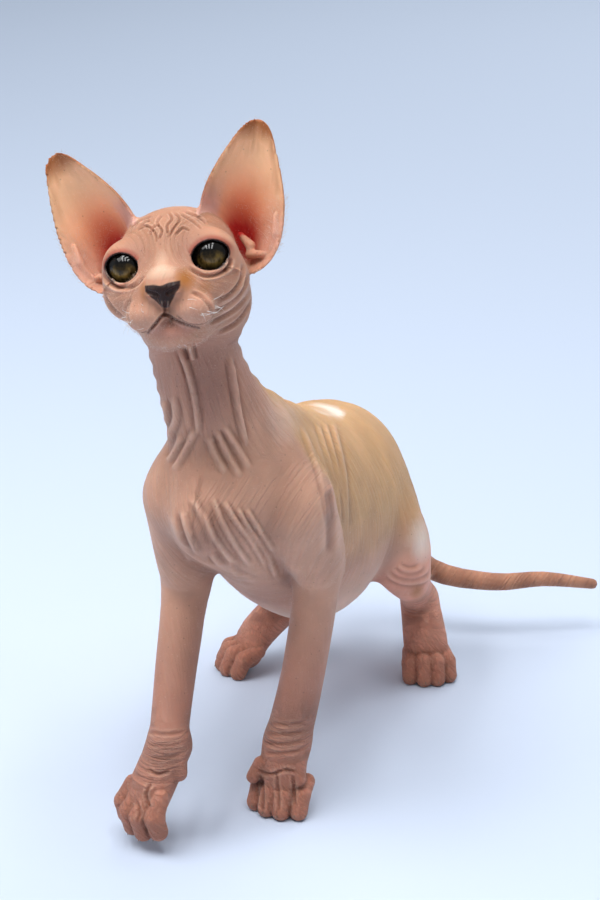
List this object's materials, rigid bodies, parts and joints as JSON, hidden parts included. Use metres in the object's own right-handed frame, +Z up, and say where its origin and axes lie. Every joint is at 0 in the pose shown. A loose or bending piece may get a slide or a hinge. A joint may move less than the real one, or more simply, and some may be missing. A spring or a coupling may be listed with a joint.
{
  "type": "cat figure",
  "caption": "Life-size still model of a young hairless cat standing with its right forepaw just off the floor and its head turned up.",
  "frame": {"origin": "centre of the bounding box in x and y, on the floor under the paws", "axes": "+Z up, the cat faces -Y, +X is the cat's own left side"},
  "size_m": [0.1896, 0.306, 0.3176],
  "materials": {
    "skin": "matt wrinkled skin with fine down",
    "paw_skin": "matt creased skin, darker in the folds",
    "ear_skin": "thin matt skin, orange towards the rim",
    "eye": "wet gloss"
  },
  "bodies": {
    "root": {"head": "skin", "neck": "skin", "chest": "skin", "abdomen": "skin", "foreleg_left": "skin", "foreleg_right": "skin", "thigh_left": "skin", "thigh_right": "skin", "shank_left": "skin", "shank_right": "skin", "forepaw_left": "paw_skin", "forepaw_right": "paw_skin", "hindpaw_left": "paw_skin", "hindpaw_right": "paw_skin", "tail_base": "paw_skin", "tail_middle": "paw_skin", "tail_tip": "paw_skin", "ear_left": "ear_skin", "ear_right": "ear_skin", "eye_left": "eye", "eye_right": "eye"}
  },
  "joints": []
}
